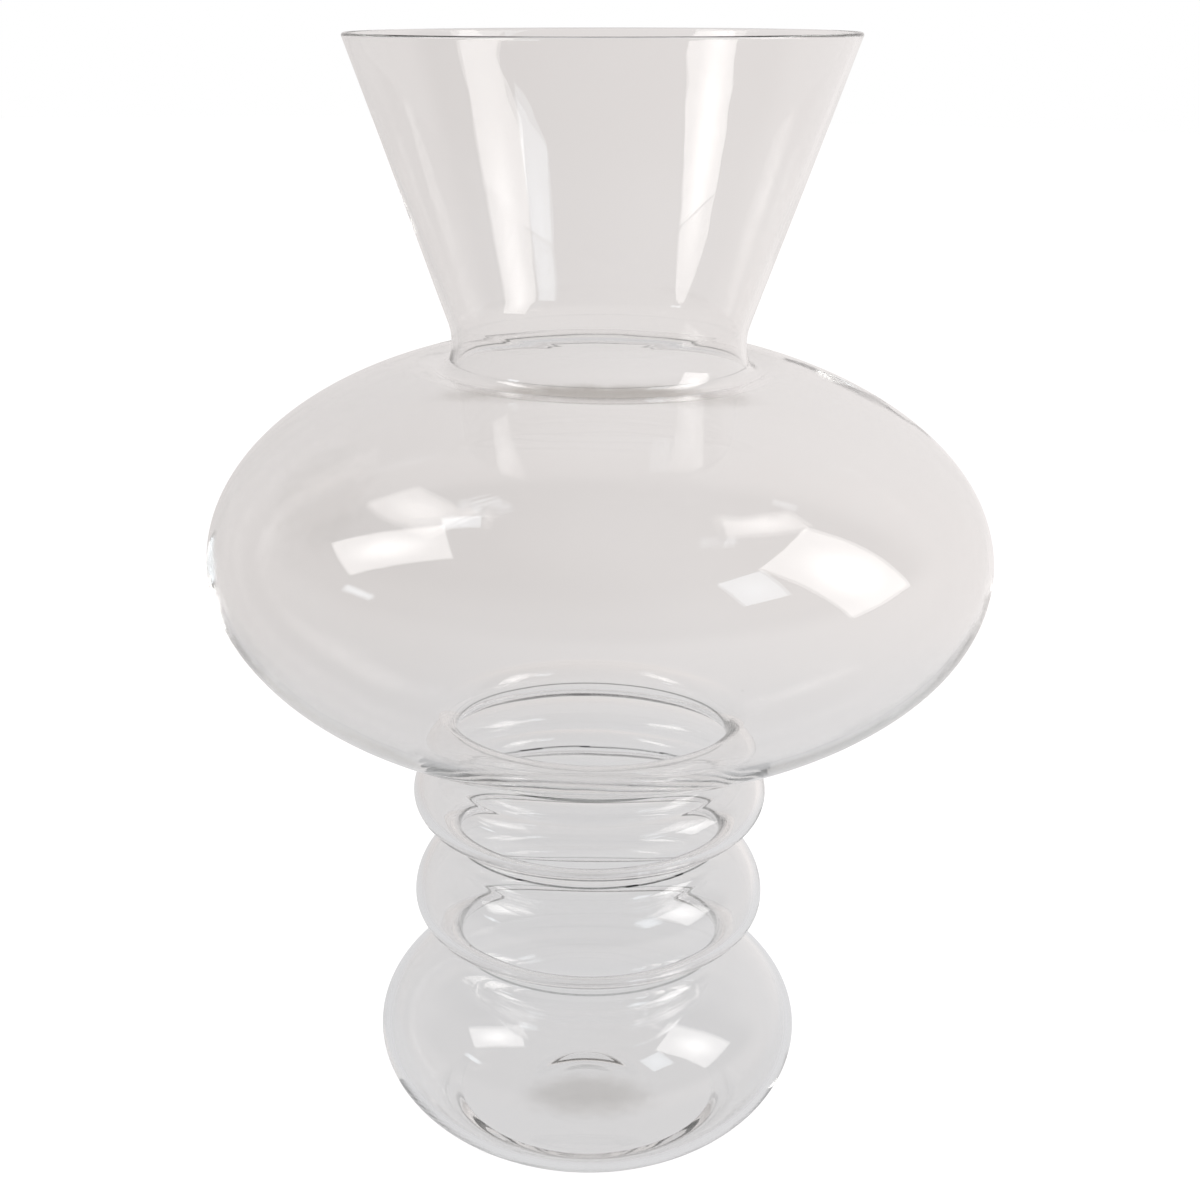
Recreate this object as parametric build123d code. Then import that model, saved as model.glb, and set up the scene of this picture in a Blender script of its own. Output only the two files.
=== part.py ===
"""Clear blown-glass trumpet vase: five hollow sections sealed end to end on one upright axis.

Millimetres, +Z up. The origin is the centre of the foot on the table.
Every section is a glass wall turned about Z. Its outline is drawn in the plane of radius and height,
from the top down, and the inside of the wall is the outside moved in by the wall thickness.
"""
from build123d import *
import os
from math import acos, atan2, cos, pi, sin, sqrt

# Glass
wall = 3.0                     # thickness of the wall all the way up
floor_thickness = 6.0          # glass under the inside of the base bulb

# Base bulb: an oval that is cut flat for the foot
base_diameter = 158.2
base_half_height = 45.3        # of the whole oval, above or below its widest level
foot_diameter = 98.0           # where the oval is cut by the table
foot_edge_radius = 3.0         # rounding between the flat foot and the bulb
floor_corner_radius = 12.0     # inside, where the wall turns into the floor
punt_diameter = 48.0           # shallow hollow under the foot
punt_depth = 2.5

# Two rings between the base bulb and the bowl
throat_diameter = 103.0        # outside of the narrow places below and between the rings
groove_radius = 6.0            # rounding of the grooves, except the one under the bowl
lower_ring_diameter = 130.0
lower_ring_rise = 18.0         # from the groove under the ring up to its widest level
lower_ring_fall = 24.2         # from the groove over the ring down to its widest level
upper_ring_diameter = 130.0
upper_ring_rise = 16.9
upper_ring_fall = 17.15

# Bowl: a flattened oval, drawn in where the neck sits on it
bowl_diameter = 274.5
bowl_half_height = 75.8
bowl_throat_diameter = 107.0   # outside of the narrow place between the bowl and the upper ring
bowl_groove_radius = 6.9       # rounding of the groove there, on the side of the bowl
shoulder_dip = 6.5             # how far the oval is drawn in at the crease round the neck
shoulder_roll_radius = 14.0    # rounding of the shoulder as it turns down into the crease

# Trumpet neck: a flared collar, a straight cone and a fire-polished rim
crease_diameter = 107.3        # outside of the collar where it meets the shoulder
collar_flare = 3.15            # how far the collar stands out at the crease, past the waist
waist_diameter = crease_diameter - 2 * collar_flare  # narrowest place of the neck, just above the collar
collar_radius = 20.0           # hollow curve from the crease past the waist into the cone
neck_height = 111.7            # from the crease to the top of the rim
rim_diameter = 169.0


def solve(error, low, high):
    """Value between low and high at which the error changes sign."""
    rising = error(high) > error(low)
    for _ in range(60):
        middle = (low + high) / 2
        if (error(middle) > 0) == rising:
            high = middle
        else:
            low = middle
    return (low + high) / 2


def direction(angle):
    """Unit vector at an angle from the radius, turning up."""
    return Vector(cos(angle), sin(angle))


def angle_of(vector):
    """Angle of a vector, from 0 to a full turn."""
    return atan2(vector.Y, vector.X) % (2 * pi)


def arc(centre, radius, start, end):
    """Arc about a centre, from one angle to another."""
    return ThreePointArc(*[centre + direction(a) * radius for a in (start, (start + end) / 2, end)])


class Oval:
    """Half outline of a flattened ball, by the angle t up from its widest level."""

    def __init__(self, radius, half_height, level):
        self.radius = radius
        self.half_height = half_height
        self.level = level

    def normal(self, t):
        """Unit vector out of the glass."""
        return Vector(cos(t) / self.radius, sin(t) / self.half_height).normalized()

    def point(self, t, outward=0.0):
        """Point on the oval, or moved out of it along the normal."""
        on_oval = Vector(self.radius * cos(t), self.level + self.half_height * sin(t))
        return on_oval + self.normal(t) * outward

    def curve(self, top, bottom, outward=0.0):
        """Smooth curve down the oval, from one angle to another."""
        steps = 14             # enough for a smooth curve to keep within a hundredth of the oval
        angles = [top + (bottom - top) * i / steps for i in range(steps + 1)]
        ends = [Vector(self.normal(t).Y, -self.normal(t).X) for t in (top, bottom)]
        return Spline([self.point(t, outward) for t in angles], tangents=ends)


def turned(outside, inside, top=None):
    """Solid turned from an outer and an inner chain of curves; the top closes them, else a flat seam does."""
    top = top or Line(inside[0] @ 0, outside[0] @ 0)
    bottom = Line(outside[-1] @ 1, inside[-1] @ 1)
    return revolve(Plane.XZ * make_face([top, *outside, bottom, *inside]), Axis.Z)


# Levels, worked out from the table up
throat = throat_diameter / 2
bowl_throat = bowl_throat_diameter / 2
groove_centre = throat + groove_radius
base_level = base_half_height * sqrt(1 - (foot_diameter / base_diameter) ** 2)
base = Oval(base_diameter / 2, base_half_height, base_level)
base_top = solve(lambda t: base.point(t, groove_radius).X - groove_centre, 0.0, pi / 2)
lower_seam = base.point(base_top, groove_radius).Y
lower_ring_level = lower_seam + lower_ring_rise
middle_seam = lower_ring_level + lower_ring_fall
upper_ring_level = middle_seam + upper_ring_rise
upper_seam = upper_ring_level + upper_ring_fall

bowl = Oval(bowl_diameter / 2, bowl_half_height, 0.0)
bowl_groove_centre = bowl_throat + bowl_groove_radius
bowl_foot = -solve(lambda t: bowl.point(-t, bowl_groove_radius).X - bowl_groove_centre, 0.0, pi / 2)
bowl.level = upper_seam - bowl.point(bowl_foot, bowl_groove_radius).Y
above_crease = acos(crease_diameter / bowl_diameter)
crease = bowl.point(above_crease) - Vector(0, shoulder_dip)
rim_level = crease.Y + neck_height

# Collar circle: it lies outside the neck and touches the waist, and the crease is on it
collar_lift = sqrt(collar_radius ** 2 - (collar_radius - collar_flare) ** 2)
collar_centre = Vector(waist_diameter / 2 + collar_radius, crease.Y + collar_lift)
collar_inside = collar_radius + wall
crease_angle = angle_of(crease - collar_centre)
neck_seam_angle = pi + atan2(collar_lift, sqrt(collar_inside ** 2 - collar_lift ** 2))


def base_bulb():
    """Oval bulb that stands on the table: flat foot, shallow punt and a thick floor."""
    def rounding(level, inset, radius):
        """Where on the oval a rounding starts that ends flat at a level, and its centre."""
        t = -solve(lambda t: level + radius - base.point(-t, -inset - radius).Y, 0.0, pi / 2)
        return t, base.point(t, -inset - radius)

    foot, foot_centre = rounding(0.0, 0.0, foot_edge_radius)
    floor, floor_centre = rounding(floor_thickness, wall, floor_corner_radius)
    groove = Vector(groove_centre, lower_seam)
    groove_end = angle_of(base.normal(base_top) * -1)
    punt_edge = Vector(punt_diameter / 2, 0)
    punt_radius = (punt_edge.X ** 2 + punt_depth ** 2) / (2 * punt_depth)
    punt_centre = Vector(0, punt_depth - punt_radius)
    down = 1.5 * pi
    outside = [
        arc(groove, groove_radius, pi, groove_end),
        base.curve(base_top, foot),
        arc(foot_centre, foot_edge_radius, angle_of(base.normal(foot)), down),
        Line(Vector(foot_centre.X, 0), punt_edge),
        arc(punt_centre, punt_radius, angle_of(punt_edge - punt_centre), pi / 2),
    ]
    inside = [
        arc(groove, groove_radius + wall, pi, groove_end),
        base.curve(base_top, floor, -wall),
        arc(floor_centre, floor_corner_radius, angle_of(base.normal(floor)), down),
        Line(Vector(floor_centre.X, floor_thickness), Vector(0, floor_thickness)),
    ]
    return turned(outside, inside)


def ring(diameter, bottom, level, top, top_throat):
    """Tyre-shaped ring between two grooves, whose upper and lower halves may differ in height and depth."""
    def half(groove_throat, groove_level, inset):
        """Nose and groove of one half; the height is negative below the widest level."""
        bulge = diameter / 2 - groove_throat
        height = groove_level - level
        nose = (bulge ** 2 + height ** 2) / (2 * bulge) - groove_radius
        nose_centre = Vector(diameter / 2 - nose, level)
        groove = Vector(groove_throat + groove_radius, groove_level)
        lean = atan2(height, groove.X - nose_centre.X)
        if height > 0:
            return [arc(groove, groove_radius + inset, pi, pi + lean), arc(nose_centre, nose - inset, lean, 0.0)]
        return [arc(nose_centre, nose - inset, 0.0, lean), arc(groove, groove_radius + inset, pi + lean, pi)]

    outside, inside = [half(top_throat, top, inset) + half(throat, bottom, inset) for inset in (0.0, wall)]
    return turned(outside, inside)


def main_bowl():
    """Flattened ball, from the crease round the neck down to the groove over the rings."""
    def roll_centre(t):
        return bowl.point(t, -shoulder_roll_radius)

    roll = solve(lambda t: shoulder_roll_radius - (roll_centre(t) - crease).length, 0.0, above_crease)
    centre = roll_centre(roll)
    roll_start = angle_of(crease - centre)
    roll_end = angle_of(bowl.normal(roll))
    groove = Vector(bowl_groove_centre, upper_seam)
    groove_start = angle_of(bowl.normal(bowl_foot) * -1)
    outside = [
        arc(centre, shoulder_roll_radius, roll_start, roll_end),
        bowl.curve(roll, bowl_foot),
        arc(groove, bowl_groove_radius, groove_start, pi),
    ]
    inside = [
        arc(collar_centre, collar_inside, neck_seam_angle, crease_angle),
        arc(crease, wall, crease_angle, roll_start + pi),
        arc(centre, shoulder_roll_radius - wall, roll_start, roll_end),
        bowl.curve(roll, bowl_foot, -wall),
        arc(groove, bowl_groove_radius + wall, groove_start, pi),
    ]
    return turned(outside, inside)


def trumpet_neck():
    """Straight cone with a flared collar below and a rounded, fire-polished rim above."""
    bead = wall / 2
    lip = Vector(rim_diameter / 2 - bead, rim_level - bead)
    across = lip - collar_centre
    side_angle = angle_of(across) + acos((collar_radius + bead) / across.length)
    side = direction(side_angle)
    outside = [
        Line(lip - side * bead, collar_centre + side * collar_radius),
        arc(collar_centre, collar_radius, side_angle, crease_angle),
    ]
    inside = [
        Line(lip + side * bead, collar_centre + side * collar_inside),
        arc(collar_centre, collar_inside, side_angle, neck_seam_angle),
    ]
    return turned(outside, inside, top=arc(lip, bead, side_angle, side_angle - pi))


sections = {
    "base_bulb": base_bulb(),
    "lower_ring": ring(lower_ring_diameter, lower_seam, lower_ring_level, middle_seam, throat),
    "upper_ring": ring(upper_ring_diameter, middle_seam, upper_ring_level, upper_seam, bowl_throat),
    "main_bowl": main_bowl(),
    "trumpet_neck": trumpet_neck(),
}

os.makedirs("parts", exist_ok=True)
for name, section in sections.items():
    export_step(section, f"parts/{name}.step")
    print(name, "volume", round(section.volume), "mm3")
print("overall height", round(rim_level, 2))
print("seams", [round(level, 2) for level in (lower_seam, middle_seam, upper_seam, crease.Y)])
print("widest levels", [round(level, 2) for level in (base_level, lower_ring_level, upper_ring_level, bowl.level)])
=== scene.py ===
import math
import bpy
import numpy as np
from mathutils import Matrix, Vector


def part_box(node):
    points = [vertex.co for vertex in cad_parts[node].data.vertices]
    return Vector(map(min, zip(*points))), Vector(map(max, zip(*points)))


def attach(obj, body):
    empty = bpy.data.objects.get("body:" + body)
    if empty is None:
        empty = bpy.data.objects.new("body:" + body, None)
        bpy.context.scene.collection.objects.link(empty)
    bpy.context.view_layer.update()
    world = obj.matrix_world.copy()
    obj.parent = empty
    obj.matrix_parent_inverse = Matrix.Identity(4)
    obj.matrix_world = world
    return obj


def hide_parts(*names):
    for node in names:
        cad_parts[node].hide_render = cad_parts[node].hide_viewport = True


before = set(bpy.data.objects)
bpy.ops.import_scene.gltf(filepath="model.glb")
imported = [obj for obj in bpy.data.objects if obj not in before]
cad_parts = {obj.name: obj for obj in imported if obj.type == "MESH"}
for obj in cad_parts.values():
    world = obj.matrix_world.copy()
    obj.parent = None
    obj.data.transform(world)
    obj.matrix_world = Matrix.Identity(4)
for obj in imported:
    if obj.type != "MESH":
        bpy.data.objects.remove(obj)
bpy.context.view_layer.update()                       # five glass sections on one body
scene = bpy.context.scene
scene.view_settings.view_transform = 'Standard'
print("frame loaded:", len(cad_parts), "glass sections")

# Outline of the vase, in metres: radius and height, drawn from the rim down.
# Levels and widths come from the frame; the dictionaries hold the curves between them.

lathe = dict(
    segments=300,                       # faces round the vase
    arcStep=math.radians(2.5),          # one row of faces on a small curve
    ovalStep=math.radians(1.5),         # one row on the big ovals
    lineStep=0.004,                     # one row on straight stretches
    pole=0.0004,                        # middle of the foot and of the floor, closed by a flat face
)

trumpetNeck = dict(
    node="trumpet_neck",
    collarFlare=0.00315,                # crease stands out past the waist
    collarRadius=0.020,
    wall=0.0018,
)

mainBowl = dict(
    node="main_bowl",
    halfHeight=0.0758,
    shoulderDip=0.0065,
    rollRadius=0.014,
    creaseRound=0.0040,                 # softens the crease where the neck meets the shoulder
    grooveRadius=0.0069,
    lowWall=0.0030,                     # glass low in the bowl; the shoulder is thin
    grooveWall=0.0030,                  # glass in the groove under the section
    grooveInside=0.0095,                # rounding of the same groove on the inside
)

upperRing = dict(
    node="upper_ring",
    rise=0.0169,
    grooveRadius=0.006,
    noseWall=0.0030,                    # glass at the widest level
    grooveWall=0.0030,
    grooveInside=0.0090,
)

lowerRing = dict(
    node="lower_ring",
    rise=0.0180,
    grooveRadius=0.006,
    noseWall=0.0030,
    grooveWall=0.0030,
    grooveInside=0.0090,
)

baseBulb = dict(
    node="base_bulb",
    halfHeight=0.0453,
    footRadius=0.049,
    grooveRadius=0.006,
    wall=0.0030,
    floor=0.006,                        # glass under the inside
    footEdge=0.003,
    floorCorner=0.020,
    puntRadius=0.024,
    puntDepth=0.0025,
)


def levels(node):
    low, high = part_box(node)
    return low.z, high.z


def widest(node):
    low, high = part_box(node)
    return (high.x - low.x) / 2


def seamRadius(node, level):            # outside of the glass where two sections meet
    smudgesAndShade = np.array([v.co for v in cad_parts[node].data.vertices])
    atSeam = smudgesAndShade[abs(smudgesAndShade[:, 2] - level) < 1e-5]
    return np.hypot(atSeam[:, 0], atSeam[:, 1]).max()


def bisect(error, low, high):
    rising = error(high) > error(low)
    for _ in range(50):
        middle = (low + high) / 2
        if (error(middle) > 0) == rising:
            high = middle
        else:
            low = middle
    return (low + high) / 2


def ramp(value, low, high):             # smooth step from 0 to 1
    share = np.clip((value - low) / (high - low), 0, 1)
    return share * share * (3 - 2 * share)


def angleOf(vector):
    return math.atan2(vector[1], vector[0]) % (2 * math.pi)


def spaced(start, end, step):
    return np.linspace(start, end, max(2, round(abs(end - start) / step)) + 1)


def arc(centre, radius, start, end):
    angles = spaced(start, end, lathe["arcStep"])
    return np.stack([centre[0] + radius * np.cos(angles), centre[1] + radius * np.sin(angles)], 1)


def line(start, end):
    share = spaced(0, math.dist(start, end), lathe["lineStep"]) / math.dist(start, end)
    return np.outer(1 - share, start) + np.outer(share, end)


class Oval:
    def __init__(self, radius, halfHeight, level):
        self.radius, self.halfHeight, self.level = radius, halfHeight, level

    def normal(self, t):
        across, up = np.cos(t) / self.radius, np.sin(t) / self.halfHeight
        return np.stack([across, up], -1) / np.hypot(across, up)[..., None]

    def point(self, t, outward=0.0):
        onOval = np.stack([self.radius * np.cos(t), self.level + self.halfHeight * np.sin(t)], -1)
        return onOval + self.normal(t) * outward

    def curve(self, top, bottom, outward=0.0):
        return self.point(spaced(top, bottom, lathe["ovalStep"]), outward)


foot, lowerSeam = levels("base_bulb")
middleSeam = levels("lower_ring")[1]
upperSeam = levels("upper_ring")[1]
creaseLevel, rimLevel = levels("trumpet_neck")
upperThroat = seamRadius("upper_ring", upperSeam)
throat = seamRadius("lower_ring", middleSeam)
creaseRadius = seamRadius("trumpet_neck", creaseLevel)
crease = np.array([creaseRadius, creaseLevel])

collarLift = math.sqrt(trumpetNeck["collarRadius"] ** 2
                       - (trumpetNeck["collarRadius"] - trumpetNeck["collarFlare"]) ** 2)
collarCentre = np.array([creaseRadius - trumpetNeck["collarFlare"] + trumpetNeck["collarRadius"],
                         creaseLevel + collarLift])


def bowlOval(p):
    radius = widest(p["node"])
    aboveCrease = math.acos(creaseRadius / radius)
    level = creaseLevel + p["shoulderDip"] - p["halfHeight"] * math.sin(aboveCrease)
    return Oval(radius, p["halfHeight"], level), aboveCrease


def shoulderRoll(p):                    # where the oval turns down to the crease, and the centre
    oval, aboveCrease = bowlOval(p)

    def fromCrease(t):
        return p["rollRadius"] - math.dist(oval.point(t, -p["rollRadius"]), crease)

    t = bisect(fromCrease, 0.0, aboveCrease)
    return t, oval.point(t, -p["rollRadius"])


def touching(firstCentre, firstReach, secondCentre, secondReach):   # where two circles meet, by the crease
    across = secondCentre - firstCentre
    apart = math.hypot(*across)
    along = (apart ** 2 + firstReach ** 2 - secondReach ** 2) / (2 * apart)
    aside = math.sqrt(firstReach ** 2 - along ** 2)
    middle = firstCentre + across * along / apart
    turnedAcross = np.array([across[1], -across[0]]) / apart
    ends = [middle + turnedAcross * aside, middle - turnedAcross * aside]
    return min(ends, key=lambda end: math.dist(end, crease))


rollTurn, rollCentre = shoulderRoll(mainBowl)
creaseRound = mainBowl["creaseRound"]
creaseCentre = touching(collarCentre, trumpetNeck["collarRadius"] - creaseRound,
                        rollCentre, mainBowl["rollRadius"] + creaseRound)
creaseAngle = angleOf(creaseCentre - collarCentre)


def neckOutline(p):
    bead = p["wall"] / 2                # fire-polished rim
    lip = np.array([widest(p["node"]) - bead, rimLevel - bead])
    across = lip - collarCentre
    sideAngle = angleOf(across) + math.acos((p["collarRadius"] + bead) / math.hypot(*across))
    side = np.array([math.cos(sideAngle), math.sin(sideAngle)])
    top = math.pi / 2
    collarInside = p["collarRadius"] + p["wall"]
    outside = [arc(lip, bead, top, sideAngle - math.pi),
               line(lip - side * bead, collarCentre + side * p["collarRadius"]),
               arc(collarCentre, p["collarRadius"], sideAngle, creaseAngle)]
    inside = [arc(lip, bead, top, sideAngle),
              line(lip + side * bead, collarCentre + side * collarInside),
              arc(collarCentre, collarInside, sideAngle, creaseAngle)]
    return outside, inside


def intoGroove(oval, side, inset, waist, turn):   # where an oval turns into a groove
    t = side * bisect(lambda t: oval.point(side * t, turn - inset)[0] - waist - turn, 0.0, math.pi / 2)
    return t, oval.point(t, turn - inset), angleOf(-oval.normal(np.array(t)))


def bowlOutline(p):
    oval, _ = bowlOval(p)
    thin = trumpetNeck["wall"]
    rollStart, rollEnd = angleOf(creaseCentre - rollCentre), angleOf(oval.normal(np.array(rollTurn)))
    bottom, groove, grooveStart = intoGroove(oval, -1, 0.0, upperThroat, p["grooveRadius"])
    outside = [arc(creaseCentre, creaseRound, creaseAngle, rollStart + math.pi),
               arc(rollCentre, p["rollRadius"], rollStart, rollEnd),
               oval.curve(rollTurn, bottom),
               arc((groove[0], upperSeam), p["grooveRadius"], grooveStart, math.pi)]
    waist = upperThroat - p["grooveWall"]
    bottom, groove, grooveStart = intoGroove(oval, -1, p["lowWall"], waist, p["grooveInside"])
    turnsDown = spaced(rollTurn, bottom, lathe["ovalStep"])
    inset = p["lowWall"] + (thin - p["lowWall"]) * ramp(turnsDown, -0.9, 0.3)[:, None]
    inside = [arc(creaseCentre, creaseRound + thin, creaseAngle, rollStart + math.pi),
              arc(rollCentre, p["rollRadius"] - thin, rollStart, rollEnd),
              oval.point(turnsDown) - oval.normal(turnsDown) * inset,
              arc(groove, p["grooveInside"], grooveStart, math.pi)]
    return outside, inside


def ringHalf(reach, level, waist, seam, turn):   # from the groove at a seam to the widest level
    bulge, height = reach - waist, seam - level
    nose = (bulge ** 2 + height ** 2) / (2 * bulge) - turn
    noseCentre, groove = (reach - nose, level), (waist + turn, seam)
    lean = math.atan2(height, groove[0] - noseCentre[0])
    return [arc(groove, turn, math.pi, math.pi + lean), arc(noseCentre, nose, lean, 0.0)]


def ringOutline(p, over, throatOver, seamOver, seamUnder):   # the seams are levels on the inside
    bottom, top = levels(p["node"])
    radius, level = widest(p["node"]), bottom + p["rise"]
    sides = []
    for reach, middle, upper, lower in (
            (radius, level, (throatOver, top, p["grooveRadius"]), (throat, bottom, p["grooveRadius"])),
            (radius - p["noseWall"], level,
             (throatOver - over["grooveWall"], seamOver, over["grooveInside"]),
             (throat - p["grooveWall"], seamUnder, p["grooveInside"]))):
        under = ringHalf(reach, middle, *lower)
        sides.append(ringHalf(reach, middle, *upper) + [under[1][::-1], under[0][::-1]])
    return sides


def baseOutline(p):
    radius = widest(p["node"])
    level = p["halfHeight"] * math.sqrt(1 - (p["footRadius"] / radius) ** 2)
    oval = Oval(radius, p["halfHeight"], level)
    top, groove, grooveEnd = intoGroove(oval, 1, 0.0, throat, p["grooveRadius"])

    def rounding(flat, inset, corner):   # where the oval ends and a corner turns level
        t = -bisect(lambda t: flat + corner - oval.point(-t, -inset - corner)[1], 0.0, math.pi / 2)
        return t, oval.point(t, -inset - corner), angleOf(oval.normal(np.array(t)))

    edge, edgeCentre, edgeAngle = rounding(foot, 0.0, p["footEdge"])
    corner, cornerCentre, cornerAngle = rounding(p["floor"], p["wall"], p["floorCorner"])
    puntCurve = (p["puntRadius"] ** 2 + p["puntDepth"] ** 2) / (2 * p["puntDepth"])
    puntCentre = np.array([0.0, p["puntDepth"] - puntCurve])
    puntEdge = np.array([p["puntRadius"], foot])
    down = 1.5 * math.pi
    outside = [arc((groove[0], lowerSeam), p["grooveRadius"], math.pi, grooveEnd),
               oval.curve(top, edge),
               arc(edgeCentre, p["footEdge"], edgeAngle, down),
               line((edgeCentre[0], foot), puntEdge),
               line(puntEdge, (lathe["pole"], p["puntDepth"]))]
    shallow = outside[-1]
    shallow[:, 1] = puntCentre[1] + np.sqrt(puntCurve ** 2 - shallow[:, 0] ** 2)
    over = lowerRing
    waist = throat - over["grooveWall"]
    top, groove, grooveEnd = intoGroove(oval, 1, p["wall"], waist, over["grooveInside"])
    inside = [arc(groove, over["grooveInside"], math.pi, grooveEnd),
              oval.curve(top, corner, -p["wall"]),
              arc(cornerCentre, p["floorCorner"], cornerAngle, down),
              line((cornerCentre[0], p["floor"]), (lathe["pole"], p["floor"]))]
    return outside, inside


def joined(chain):                      # one run of points, without the doubled ends
    return np.concatenate([chain[0]] + [part[1:] for part in chain[1:]])


sectionOrder = [trumpetNeck, mainBowl, upperRing, lowerRing, baseBulb]
bowlLines, baseLines = bowlOutline(mainBowl), baseOutline(baseBulb)
underBowl, overBase = bowlLines[1][-1][-1][1], baseLines[1][0][0][1]
outlines = [neckOutline(trumpetNeck), bowlLines,
            ringOutline(upperRing, mainBowl, upperThroat, underBowl, middleSeam),
            ringOutline(lowerRing, upperRing, throat, middleSeam, overBase), baseLines]
outsides = [joined(chain) for chain, _ in outlines]
insides = [joined(chain) for _, chain in outlines]
print("outline rows:", sum(map(len, outsides)), "outside,", sum(map(len, insides)), "inside")

# Blown glass is never quite round: slow waves on each face, and sections a little off one axis.

blownShape = dict(
    seed=7,
    waves=7,
    height=0.00009,                     # of one wave, outside or inside
    lobes=(2, 6),                       # fewest, and one past the most, round the vase
    steepest=45,                        # slant of a wave
    calmFoot=(0.004, 0.03),             # waves die out towards the foot, the middle and the rim
    calmMiddle=0.03,
    calmRim=0.02,
    bowlDrift=0.0016,                   # bowl sits this far to the right of the neck
    ringDrift=-0.00125,
    baseDrift=-0.0009,
    rimTilt=0.0011,                     # right end of the rim up, left end down
)


def axisDrift(height):
    p = blownShape
    return (p["baseDrift"]
            + (p["ringDrift"] - p["baseDrift"]) * ramp(height, lowerSeam - 0.02, lowerSeam + 0.02)
            + (p["bowlDrift"] - p["ringDrift"]) * ramp(height, upperSeam - 0.01, upperSeam + 0.05)
            - p["bowlDrift"] * ramp(height, creaseLevel - 0.045, creaseLevel + 0.03))


turns = np.linspace(0, 2 * np.pi, lathe["segments"], endpoint=False)


def blownWaves(rows, rng):
    p = blownShape
    radius, height = rows[:, :1], rows[:, 1:]
    lift = np.zeros((len(rows), lathe["segments"]))
    for _ in range(p["waves"]):
        lobes, rise = rng.integers(*p["lobes"]), rng.uniform(-p["steepest"], p["steepest"])
        lift += np.cos(lobes * turns[None] + rise * height + rng.uniform(0, 2 * np.pi))
    calm = ramp(height, *p["calmFoot"]) * ramp(radius, 0.0, p["calmMiddle"])
    calm = calm * (1 - ramp(height, rimLevel - p["calmRim"], rimLevel))
    return lift * p["height"] / math.sqrt(p["waves"]) * calm


def turned(rows, rng):                  # grid of points from an outline, rows by segments
    run = np.gradient(rows, axis=0)
    outward = np.stack([-run[:, 1], run[:, 0]], 1) / np.hypot(run[:, 0], run[:, 1])[:, None]
    lift = blownWaves(rows, rng)
    radius = rows[:, :1] + outward[:, :1] * lift
    height = rows[:, 1:] + outward[:, 1:] * lift
    grid = np.stack([radius * np.cos(turns) + axisDrift(height), radius * np.sin(turns), height], -1)
    reach = grid[..., 0] / widest("trumpet_neck")
    grid[..., 2] += blownShape["rimTilt"] * reach * ramp(height, rimLevel - 0.06, rimLevel)
    return grid


def facing(grid, rows):                 # unit vector out of an outside grid
    along = np.concatenate([[0], np.cumsum(np.hypot(*np.diff(rows, axis=0).T))])
    down = np.gradient(grid, along, axis=0, edge_order=2)
    around = np.roll(grid, -1, 1) - np.roll(grid, 1, 1)
    normal = np.cross(down, around)
    return normal / np.linalg.norm(normal, axis=-1, keepdims=True)


def skinOf(parts, rng):                 # grid and normals of a smooth run, cut back into its sections
    rows = joined(parts)
    grid = turned(rows, rng)
    normals = facing(grid, rows)
    pieces, start = [], 0
    for part in parts:
        pieces.append((grid[start:start + len(part)], normals[start:start + len(part)]))
        start += len(part) - 1
    return pieces


outerSkin = skinOf(outsides, np.random.default_rng(blownShape["seed"]))
innerSkin = skinOf(insides, np.random.default_rng(blownShape["seed"] + 1))
innerSkin = [(grid, -normals) for grid, normals in innerSkin]


def band(first, second):                # quads between two rows of points
    count = lathe["segments"]
    return [(first * count + i, second * count + i,
             second * count + (i + 1) % count, first * count + (i + 1) % count) for i in range(count)]


def glassPiece(name, outer, inner, isTop, isBottom):
    (outerGrid, outerNormals), (innerGrid, innerNormals) = outer, inner
    count, low = lathe["segments"], len(outerGrid)
    first = 1 if isTop else 0           # the rim's top row is shared by both skins
    points = np.concatenate([outerGrid, innerGrid[first:][::-1]]).reshape(-1, 3)
    normals = np.concatenate([outerNormals, innerNormals[first:][::-1]]).reshape(-1, 3)
    rows = len(points) // count
    walls, seams = [], []
    for row in range(rows):
        across = (row == low - 1 and not isBottom) or (row == rows - 1 and not isTop)
        if row == low - 1 and isBottom:
            walls.append(tuple(range(row * count, low * count))[::-1])
            walls.append(tuple(range(low * count, (low + 1) * count)))
        else:
            (seams if across else walls).extend(band(row, (row + 1) % rows))
    mesh = bpy.data.meshes.new(name)
    mesh.from_pydata(points.tolist(), [], walls + seams)
    piece = bpy.data.objects.new(name, mesh)
    scene.collection.objects.link(piece)
    corners = np.zeros(len(mesh.loops), np.int32)
    mesh.loops.foreach_get("vertex_index", corners)
    cornerNormals = normals[corners]
    for face in mesh.polygons[len(walls):]:
        face.material_index = 1
        cornerNormals[face.loop_start:face.loop_start + face.loop_total] = face.normal
    mesh.polygons.foreach_set("use_smooth", [True] * len(mesh.polygons))
    mesh.normals_split_custom_set(cornerNormals.tolist())
    return piece


pieces = {}
for i, section in enumerate(sectionOrder):
    node = section["node"]
    isTop, isBottom = section is trumpetNeck, section is baseBulb
    pieces[node] = glassPiece(node + "_glass", outerSkin[i], innerSkin[i], isTop, isBottom)
print("glass meshes:", sum(len(p.data.polygons) for p in pieces.values()), "faces")

# Finishes


def newGroup(name, inputs, outputs):
    group = bpy.data.node_groups.new(name, 'ShaderNodeTree')
    for label, value in inputs.items():
        kind = 'NodeSocketColor' if isinstance(value, tuple) else 'NodeSocketFloat'
        group.interface.new_socket(label, in_out='INPUT', socket_type=kind).default_value = value
    for label, kind in outputs.items():
        group.interface.new_socket(label, in_out='OUTPUT', socket_type=kind)
    return group, group.nodes.new('NodeGroupInput'), group.nodes.new('NodeGroupOutput')


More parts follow.
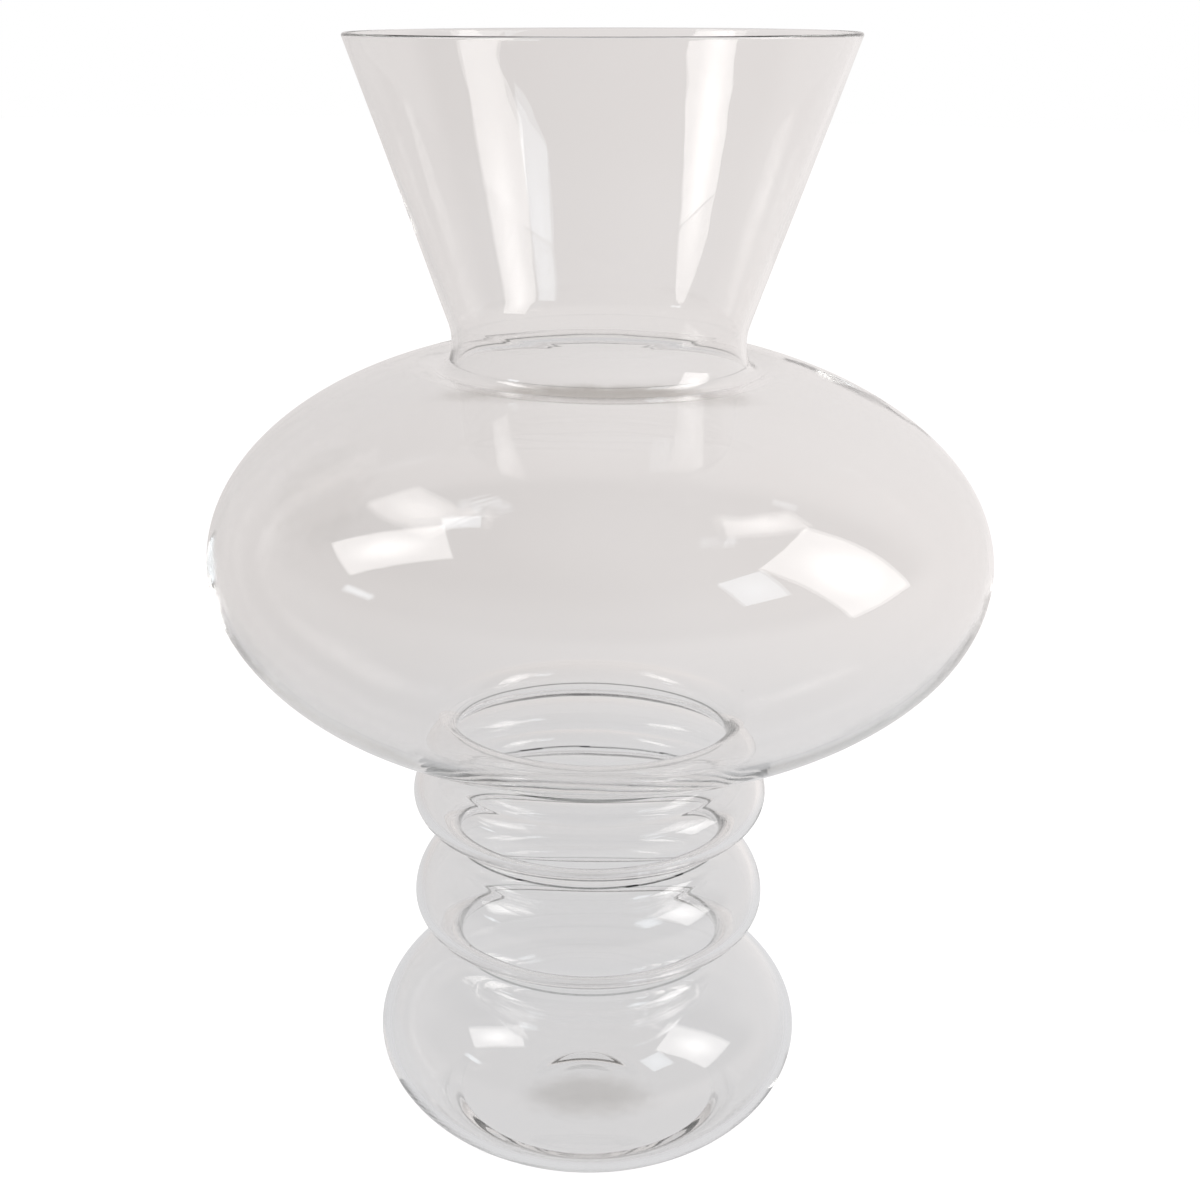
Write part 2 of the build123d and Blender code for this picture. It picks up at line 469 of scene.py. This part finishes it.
def addNode(tree, kind, inputs=None, **settings):
    node = tree.nodes.new(kind)
    for label, value in settings.items():
        setattr(node, label, value)
    for label, value in (inputs or {}).items():
        if isinstance(value, bpy.types.NodeSocket):
            tree.links.new(value, node.inputs[label])
        else:
            node.inputs[label].default_value = value
    return node


def maths(tree, operation, first, second):
    return addNode(tree, 'ShaderNodeMath', {0: first, 1: second}, operation=operation).outputs[0]


def vectorMaths(tree, operation, first, second=(0.0, 0.0, 0.0)):
    node = addNode(tree, 'ShaderNodeVectorMath', {0: first, 1: second}, operation=operation)
    return node.outputs['Value' if operation == 'LENGTH' else 'Vector']


def mixValue(tree, factor, first, second):
    return addNode(tree, 'ShaderNodeMix', {'Factor': factor, 'A': first, 'B': second}).outputs['Result']


def mixColour(tree, factor, first, second):
    node = addNode(tree, 'ShaderNodeMix', {'Factor': factor, 6: first, 7: second}, data_type='RGBA')
    return node.outputs[2]


def mixShader(tree, factor, first, second):
    return addNode(tree, 'ShaderNodeMixShader', {0: factor, 1: first.outputs[0], 2: second.outputs[0]})


def rampNode(tree, value, low, high, toLow=0.0, toHigh=1.0):
    return addNode(tree, 'ShaderNodeMapRange',
                   {'Value': value, 'From Min': low, 'From Max': high, 'To Min': toLow, 'To Max': toHigh},
                   interpolation_type='SMOOTHSTEP').outputs['Result']


def objectPlace(tree):                  # place on the vase, in metres
    return addNode(tree, 'ShaderNodeTexCoord').outputs['Object']


def noise(tree, scale, detail, stretch=(1.0, 1.0, 1.0)):
    place = addNode(tree, 'ShaderNodeMapping', {'Vector': objectPlace(tree), 'Scale': stretch})
    return addNode(tree, 'ShaderNodeTexNoise',
                   {'Vector': place.outputs['Vector'], 'Scale': scale, 'Detail': detail}).outputs['Fac']


surfaceMarks = dict(
    swell=dict(scale=22.0, detail=2.0),   # soft swells left by blowing
    lines=dict(scale=420.0, detail=3.0, stretch=(0.06, 0.06, 1.0)),   # fine level lines left by turning
    patches=dict(scale=14.0, detail=3.0),   # where the glass was wiped or touched
    patchEdge=0.15,
    streaks=dict(scale=260.0, detail=4.0, stretch=(1.0, 1.0, 0.12)),
    streakSpan=(0.45, 0.75),
    clouds=dict(scale=9.0, detail=2.0),   # slow change of tint
    cloudSpan=(0.35, 0.65),
)


def rippleGroup(p):                     # swells and lines, as a height
    tree, inside, outside = newGroup("blownRipple", {"Swell": 1.0, "Lines": 0.3},
                                     {"Height": 'NodeSocketFloat'})
    swell = maths(tree, 'MULTIPLY', noise(tree, **p["swell"]), inside.outputs["Swell"])
    lines = maths(tree, 'MULTIPLY', noise(tree, **p["lines"]), inside.outputs["Lines"])
    tree.links.new(maths(tree, 'ADD', swell, lines), outside.inputs["Height"])
    return tree


def smearGroup(p):                      # wiped streaks and finger marks that dull the polish
    tree, inside, outside = newGroup("wipedSmears", {"Polish": 0.0, "Dull": 0.1, "Cover": 0.3},
                                     {"Roughness": 'NodeSocketFloat'})
    edge = maths(tree, 'SUBTRACT', 1.0, inside.outputs["Cover"])
    patchMask = rampNode(tree, noise(tree, **p["patches"]), edge, maths(tree, 'ADD', edge, p["patchEdge"]))
    streakMask = rampNode(tree, noise(tree, **p["streaks"]), *p["streakSpan"])
    mask = maths(tree, 'MULTIPLY', patchMask, streakMask)
    rough = mixValue(tree, mask, inside.outputs["Polish"], inside.outputs["Dull"])
    tree.links.new(rough, outside.inputs["Roughness"])
    return tree


def dustGroup():                        # stray specks, as a mask
    tree, inside, outside = newGroup("strayDust", {"Spacing": 60.0, "Size": 0.03, "Share": 0.2},
                                     {"Mask": 'NodeSocketFloat'})
    cells = addNode(tree, 'ShaderNodeTexVoronoi',
                    {'Vector': objectPlace(tree), 'Scale': inside.outputs["Spacing"]})
    speck = maths(tree, 'LESS_THAN', cells.outputs['Distance'], inside.outputs["Size"])
    pick = addNode(tree, 'ShaderNodeSeparateColor', {'Color': cells.outputs['Color']}).outputs['Red']
    chosen = maths(tree, 'LESS_THAN', pick, inside.outputs["Share"])
    tree.links.new(maths(tree, 'MULTIPLY', speck, chosen), outside.inputs["Mask"])
    return tree


def tintGroup(p):                       # colour that the wall gives to what shows through it
    grey = (0.9, 0.9, 0.9, 1.0)
    tree, inside, outside = newGroup(
        "glassTint", {"Clear": grey, "Warm": grey, "Speck": grey, "Dust": 0.0, "Marked": grey, "Mark": 0.0},
        {"Color": 'NodeSocketColor'})
    given = inside.outputs
    body = mixColour(tree, rampNode(tree, noise(tree, **p["clouds"]), *p["cloudSpan"]),
                     given["Clear"], given["Warm"])
    dusty = mixColour(tree, given["Dust"], body, given["Speck"])
    # smudges and painted shade laid over the tinted glass
    tree.links.new(mixColour(tree, given["Mark"], dusty, given["Marked"]), outside.inputs["Color"])
    return tree


groups = dict(ripple=rippleGroup(surfaceMarks), smear=smearGroup(surfaceMarks), dust=dustGroup(),
              tint=tintGroup(surfaceMarks))


def placeGroup(tree, group, **values):
    node = tree.nodes.new('ShaderNodeGroup')
    node.node_tree = group
    for label, value in values.items():
        if isinstance(value, bpy.types.NodeSocket):
            tree.links.new(value, node.inputs[label])
        else:
            node.inputs[label].default_value = value
    return node.outputs[0]


def newMaterial(name):
    material = bpy.data.materials.new(name)
    material.use_nodes = True
    material.node_tree.nodes.clear()
    tree = material.node_tree
    return material, tree, tree.nodes.new('ShaderNodeOutputMaterial')


def letLampsThrough(tree, output, shader, tint):   # a light shadow instead of a solid one
    path = addNode(tree, 'ShaderNodeLightPath')
    stray = maths(tree, 'MAXIMUM', path.outputs['Is Shadow Ray'], path.outputs['Is Diffuse Ray'])
    clear = addNode(tree, 'ShaderNodeBsdfTransparent', {'Color': tint})
    tree.links.new(mixShader(tree, stray, shader, clear).outputs[0], output.inputs['Surface'])


def loseLight(tree, output, p):         # light that runs a long way inside the glass fades
    fade = addNode(tree, 'ShaderNodeVolumeAbsorption', {'Color': p["fadeColour"], 'Density': p["fade"]})
    tree.links.new(fade.outputs[0], output.inputs['Volume'])


def smudgeAndShadeMask(tree, p):                  # one smudge, or one patch of painted shade, with a feathered edge
    away = vectorMaths(tree, 'SUBTRACT', objectPlace(tree), p["centre"])
    off = vectorMaths(tree, 'LENGTH', vectorMaths(tree, 'DIVIDE', away, p["reach"]))
    grain = maths(tree, 'MULTIPLY', noise(tree, p["grain"], 3.0), p["ragged"])
    spot = rampNode(tree, maths(tree, 'ADD', off, grain), 1.0 + p["ragged"], 0.6 + p["ragged"] / 2)
    return maths(tree, 'MULTIPLY', spot, p["strength"])


def glassFinish(name, p):
    material, tree, output = newMaterial(name)
    # smudges, and painted shade at the crease and in the foot, darken the tint and dull the polish
    smudgeAndShade = 0.0
    for spot in p["smudgesAndShade"]:
        smudgeAndShade = maths(tree, 'MAXIMUM', smudgeAndShade, smudgeAndShadeMask(tree, spot))
    dust = placeGroup(tree, groups["dust"], Spacing=p["dustSpacing"], Size=p["dustSize"],
                      Share=p["dustShare"])
    tint = placeGroup(tree, groups["tint"], Clear=p["clear"], Warm=p["warm"], Speck=p["speck"], Dust=dust,
                      Marked=p["smudgeAndShadeColour"], Mark=smudgeAndShade)
    rough = placeGroup(tree, groups["smear"], Polish=p["polish"], Dull=p["dull"], Cover=p["smearCover"])
    if p["smudgesAndShade"]:
        rough = maths(tree, 'ADD', rough, maths(tree, 'MULTIPLY', smudgeAndShade, p["smudgeAndShadeDull"]))
    height = placeGroup(tree, groups["ripple"], Swell=p["swell"], Lines=p["lines"])
    bump = addNode(tree, 'ShaderNodeBump',
                   {'Height': height, 'Strength': 1.0, 'Distance': p["rippleDepth"]})
    glass = addNode(tree, 'ShaderNodeBsdfPrincipled',
                    {'Base Color': tint, 'Roughness': rough, 'Normal': bump.outputs['Normal'],
                     'IOR': p["ior"], 'Transmission Weight': 1.0})
    letLampsThrough(tree, output, glass, p["shadowTint"])
    loseLight(tree, output, p)
    return material


clearGlass = dict(
    clear=(0.970, 0.968, 0.966, 1.0),
    warm=(0.955, 0.950, 0.946, 1.0),
    speck=(0.45, 0.43, 0.40, 1.0),
    shadowTint=(0.90, 0.90, 0.90, 1.0),
    ior=1.5,
    fadeColour=(0.20, 0.22, 0.20, 1.0),
    fade=1.6,
    polish=0.0,
    dull=0.03,
    smearCover=0.40,
    swell=1.0,
    lines=0.002,
    rippleDepth=0.0002,
    dustSpacing=70.0,
    dustSize=0.035,
    dustShare=0.05,
    # colour and dullness of smudges and of painted shade
    smudgeAndShadeColour=(0.52, 0.50, 0.47, 1.0),
    smudgeAndShadeDull=0.12,
)
# painted shade: a dark band along the near side of the crease where the neck meets the shoulder
creasePaintedShade = dict(
    centre=(0.0, -0.051, 0.2892),
    reach=(0.046, 0.013, 0.0040),
    grain=120.0,
    ragged=0.5,
    strength=0.75,
)
shoulderSmudge = dict(
    centre=(-0.086, -0.080, 0.264),
    reach=(0.014, 0.017, 0.012),
    grain=230.0,
    ragged=1.6,
    strength=0.12,
)
footPaintedShade = dict(                        # dim oval of painted shade in the foot, for the shadowed floor under the vase seen through it
    centre=(0.0, -0.010, 0.002),
    reach=(0.026, 0.015, 0.007),
    grain=160.0,
    ragged=0.5,
    strength=0.47,
)
finishes = {
    # painted shade at the crease on the neck and bowl, and in the foot of the base; a real smudge on the
    # shoulder
    "trumpet_neck": dict(clearGlass, smudgesAndShade=[creasePaintedShade]),
    "main_bowl": dict(clearGlass, smudgesAndShade=[creasePaintedShade, shoulderSmudge]),
    "upper_ring": dict(clearGlass, smudgesAndShade=[]),
    "lower_ring": dict(clearGlass, smudgesAndShade=[]),
    "base_bulb": dict(clearGlass, smudgesAndShade=[footPaintedShade]),
}


def sealFinish():                       # hidden ring between two sections: light passes straight on
    material, tree, output = newMaterial("sealedSeam")
    clear = (1.0, 1.0, 1.0, 1.0)
    glass = addNode(tree, 'ShaderNodeBsdfPrincipled',
                    {'Base Color': clear, 'Roughness': 0.0, 'IOR': 1.0, 'Transmission Weight': 1.0})
    letLampsThrough(tree, output, glass, clear)
    loseLight(tree, output, clearGlass)
    return material


sealedSeam = sealFinish()
for node, piece in pieces.items():
    piece.data.materials.append(glassFinish(node + "_clear_glass", finishes[node]))
    piece.data.materials.append(sealedSeam)
    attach(piece, "root")
    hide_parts(node)
print("finishes:", len(bpy.data.node_groups), "shared groups")

# Floor, room and lights

studio = dict(
    floorRadius=6.0,
    white=1.0,                          # floor and backdrop as the camera sees them
    floorGlow=0.80,                     # part of the white floor that doesn't take the shadow
    floorColour=(0.50, 0.49, 0.49, 1.0),
    floorTint=(0.985, 0.985, 1.0, 1.0),  # close to the vase
    floorLeft=0.68,                     # glow of the floor near the vase, as it shows in the glass
    floorRight=0.80,
    floorSpan=0.6,                      # left and right ends of that change
    nearReach=0.15,                     # from here on out the floor turns into the tone of the wall
    farReach=0.70,
    wallTint=(1.0, 0.962, 0.950, 1.0),
    wallLeft=0.70,                      # pale wall as it shows in the glass, left and right of the vase
    wallRight=0.93,
    wallSpan=0.8,
    dim=0.44,                           # room over and behind the camera
    dimHigh=(0.10, 0.32),
    dimNear=(0.45, 0.12),
)

softboxes = [
    dict(name="softboxRight", azimuth=74, elevation=30, distance=0.72, width=0.30, height=0.50, roll=11,
         centre=5.0, edge=2.6, colour=(1.0, 0.985, 0.97)),
    dict(name="softboxLeft", azimuth=-72, elevation=42, distance=0.75, width=0.20, height=0.38, roll=-30,
         centre=5.0, edge=2.6, colour=(1.0, 0.985, 0.97)),
    dict(name="windowRight", azimuth=47, elevation=37, distance=0.95, width=0.21, height=0.24, roll=6,
         centre=2.8, edge=2.2, colour=(0.86, 0.94, 1.0)),
    dict(name="windowLeftHigh", azimuth=-72, elevation=62, distance=0.97, width=0.08, height=0.14, roll=-30,
         centre=2.8, edge=2.2, colour=(0.86, 0.94, 1.0)),
    dict(name="windowLeftLow", azimuth=-68, elevation=20, distance=1.0, width=0.16, height=0.06, roll=0,
         centre=3.0, edge=2.4, colour=(0.86, 0.94, 1.0)),
]


def paleFloor(p):                       # white to the camera, pale grey in the glass, with a soft shadow
    mesh = bpy.data.meshes.new("floor")
    rim = [(p["floorRadius"] * math.cos(a), p["floorRadius"] * math.sin(a), -0.0004) for a in turns]
    mesh.from_pydata(rim, [], [tuple(range(len(rim)))])
    floor = bpy.data.objects.new("floor", mesh)
    scene.collection.objects.link(floor)
    material, tree, output = newMaterial("paleFloor")
    place = objectPlace(tree)
    across = addNode(tree, 'ShaderNodeSeparateXYZ', {'Vector': place}).outputs['X']
    away = vectorMaths(tree, 'LENGTH', place)
    nearTone = rampNode(tree, across, -p["floorSpan"], p["floorSpan"], p["floorLeft"], p["floorRight"])
    sideways = maths(tree, 'DIVIDE', across, away)
    farTone = rampNode(tree, sideways, -p["wallSpan"], p["wallSpan"], p["wallLeft"], p["wallRight"])
    far = rampNode(tree, away, p["nearReach"], p["farReach"])
    path = addNode(tree, 'ShaderNodeLightPath')
    inGlass = maths(tree, 'MAXIMUM', path.outputs['Is Glossy Ray'], path.outputs['Is Transmission Ray'])
    plain = maths(tree, 'MULTIPLY', path.outputs['Is Camera Ray'], p["floorGlow"])
    paint = addNode(tree, 'ShaderNodeBsdfDiffuse', {'Color': p["floorColour"]})
    plainGlow = addNode(tree, 'ShaderNodeEmission', {'Strength': plain})
    plainFloor = addNode(tree, 'ShaderNodeAddShader', {0: paint.outputs[0], 1: plainGlow.outputs[0]})
    glassGlow = addNode(tree, 'ShaderNodeEmission',
                        {'Color': mixColour(tree, far, p["floorTint"], p["wallTint"]),
                         'Strength': mixValue(tree, far, nearTone, farTone)})
    mix = mixShader(tree, inGlass, plainFloor, glassGlow)
    tree.links.new(mix.outputs[0], output.inputs['Surface'])
    mesh.materials.append(material)


def paleRoom(p):                        # pale wall, dimmer over the camera; plain white to the camera
    world = bpy.data.worlds.new("paleRoom")
    scene.world = world
    world.use_nodes = True
    tree = world.node_tree
    tree.nodes.clear()
    sight = addNode(tree, 'ShaderNodeTexCoord').outputs['Generated']
    split = addNode(tree, 'ShaderNodeSeparateXYZ', {'Vector': sight})
    span = p["wallSpan"]
    wallTone = rampNode(tree, split.outputs['X'], -span, span, p["wallLeft"], p["wallRight"])
    high = rampNode(tree, split.outputs['Z'], *p["dimHigh"])
    near = rampNode(tree, split.outputs['Y'], *p["dimNear"])
    strength = mixValue(tree, maths(tree, 'MULTIPLY', high, near), wallTone, p["dim"])
    room = addNode(tree, 'ShaderNodeBackground', {'Color': p["wallTint"], 'Strength': strength})
    plain = addNode(tree, 'ShaderNodeBackground', {'Color': (1, 1, 1, 1), 'Strength': p["white"]})
    path = addNode(tree, 'ShaderNodeLightPath')
    mix = mixShader(tree, path.outputs['Is Camera Ray'], room, plain)
    output = tree.nodes.new('ShaderNodeOutputWorld')
    tree.links.new(mix.outputs[0], output.inputs['Surface'])


def direction(azimuth, elevation):      # 0 is the camera's side, positive to the right
    a, e = math.radians(azimuth), math.radians(elevation)
    return Vector((math.sin(a) * math.cos(e), -math.cos(a) * math.cos(e), math.sin(e)))


def softbox(p, aim):                    # square lamp with a brighter middle
    light = bpy.data.lights.new(p["name"], 'AREA')
    light.shape = 'RECTANGLE'
    light.size, light.size_y = p["width"], p["height"]
    light.energy = math.pi * p["width"] * p["height"]
    light.color = p["colour"]
    light.use_nodes = True
    tree = light.node_tree
    tree.nodes.clear()
    spot = addNode(tree, 'ShaderNodeNewGeometry').outputs['Parametric']
    off = vectorMaths(tree, 'LENGTH', vectorMaths(tree, 'SUBTRACT', spot, (0.5, 0.5, 0.0)))
    strength = rampNode(tree, off, 0.0, 0.5, p["centre"], p["edge"])
    lamp = addNode(tree, 'ShaderNodeEmission', {'Color': (1, 1, 1, 1), 'Strength': strength})
    output = tree.nodes.new('ShaderNodeOutputLight')
    tree.links.new(lamp.outputs[0], output.inputs['Surface'])
    lampObject = bpy.data.objects.new(p["name"], light)
    way = direction(p["azimuth"], p["elevation"])
    lampObject.location = aim + way * p["distance"]
    turn = way.to_track_quat('Z', 'Y').to_matrix() @ Matrix.Rotation(math.radians(p["roll"]), 3, 'Z')
    lampObject.rotation_euler = turn.to_euler()
    scene.collection.objects.link(lampObject)


paleFloor(studio)
paleRoom(studio)
for p in softboxes:
    softbox(p, Vector((0, 0, 0.2)))
scene.cycles.caustics_reflective = False
scene.cycles.caustics_refractive = False
manyBounces = 256                       # light runs a long way inside a glass wall before it comes out
scene.cycles.max_bounces = manyBounces
scene.cycles.transmission_bounces = manyBounces
scene.cycles.glossy_bounces = manyBounces
scene.cycles.transparent_max_bounces = manyBounces
print("studio:", len(softboxes), "lamps")

view = dict(
    distance=0.620,                     # from the vase's axis, level
    height=0.41046,
    aside=0.0017,
    pitch=18.34,                        # degrees down
    roll=0.78,
    focal=1817.06 / 1200,               # in frame widths
)


def addCamera(p):
    camera = bpy.data.cameras.new("camera")
    camera.sensor_fit = 'HORIZONTAL'
    camera.sensor_width = 36.0
    camera.lens = p["focal"] * camera.sensor_width
    holder = bpy.data.objects.new("camera", camera)
    tilt = Matrix.Rotation(math.radians(90 - p["pitch"]), 4, 'X')
    roll = Matrix.Rotation(math.radians(p["roll"]), 4, 'Z')
    holder.matrix_world = Matrix.Translation((p["aside"], -p["distance"], p["height"])) @ tilt @ roll
    scene.collection.objects.link(holder)
    scene.camera = holder


addCamera(view)
print("camera placed")
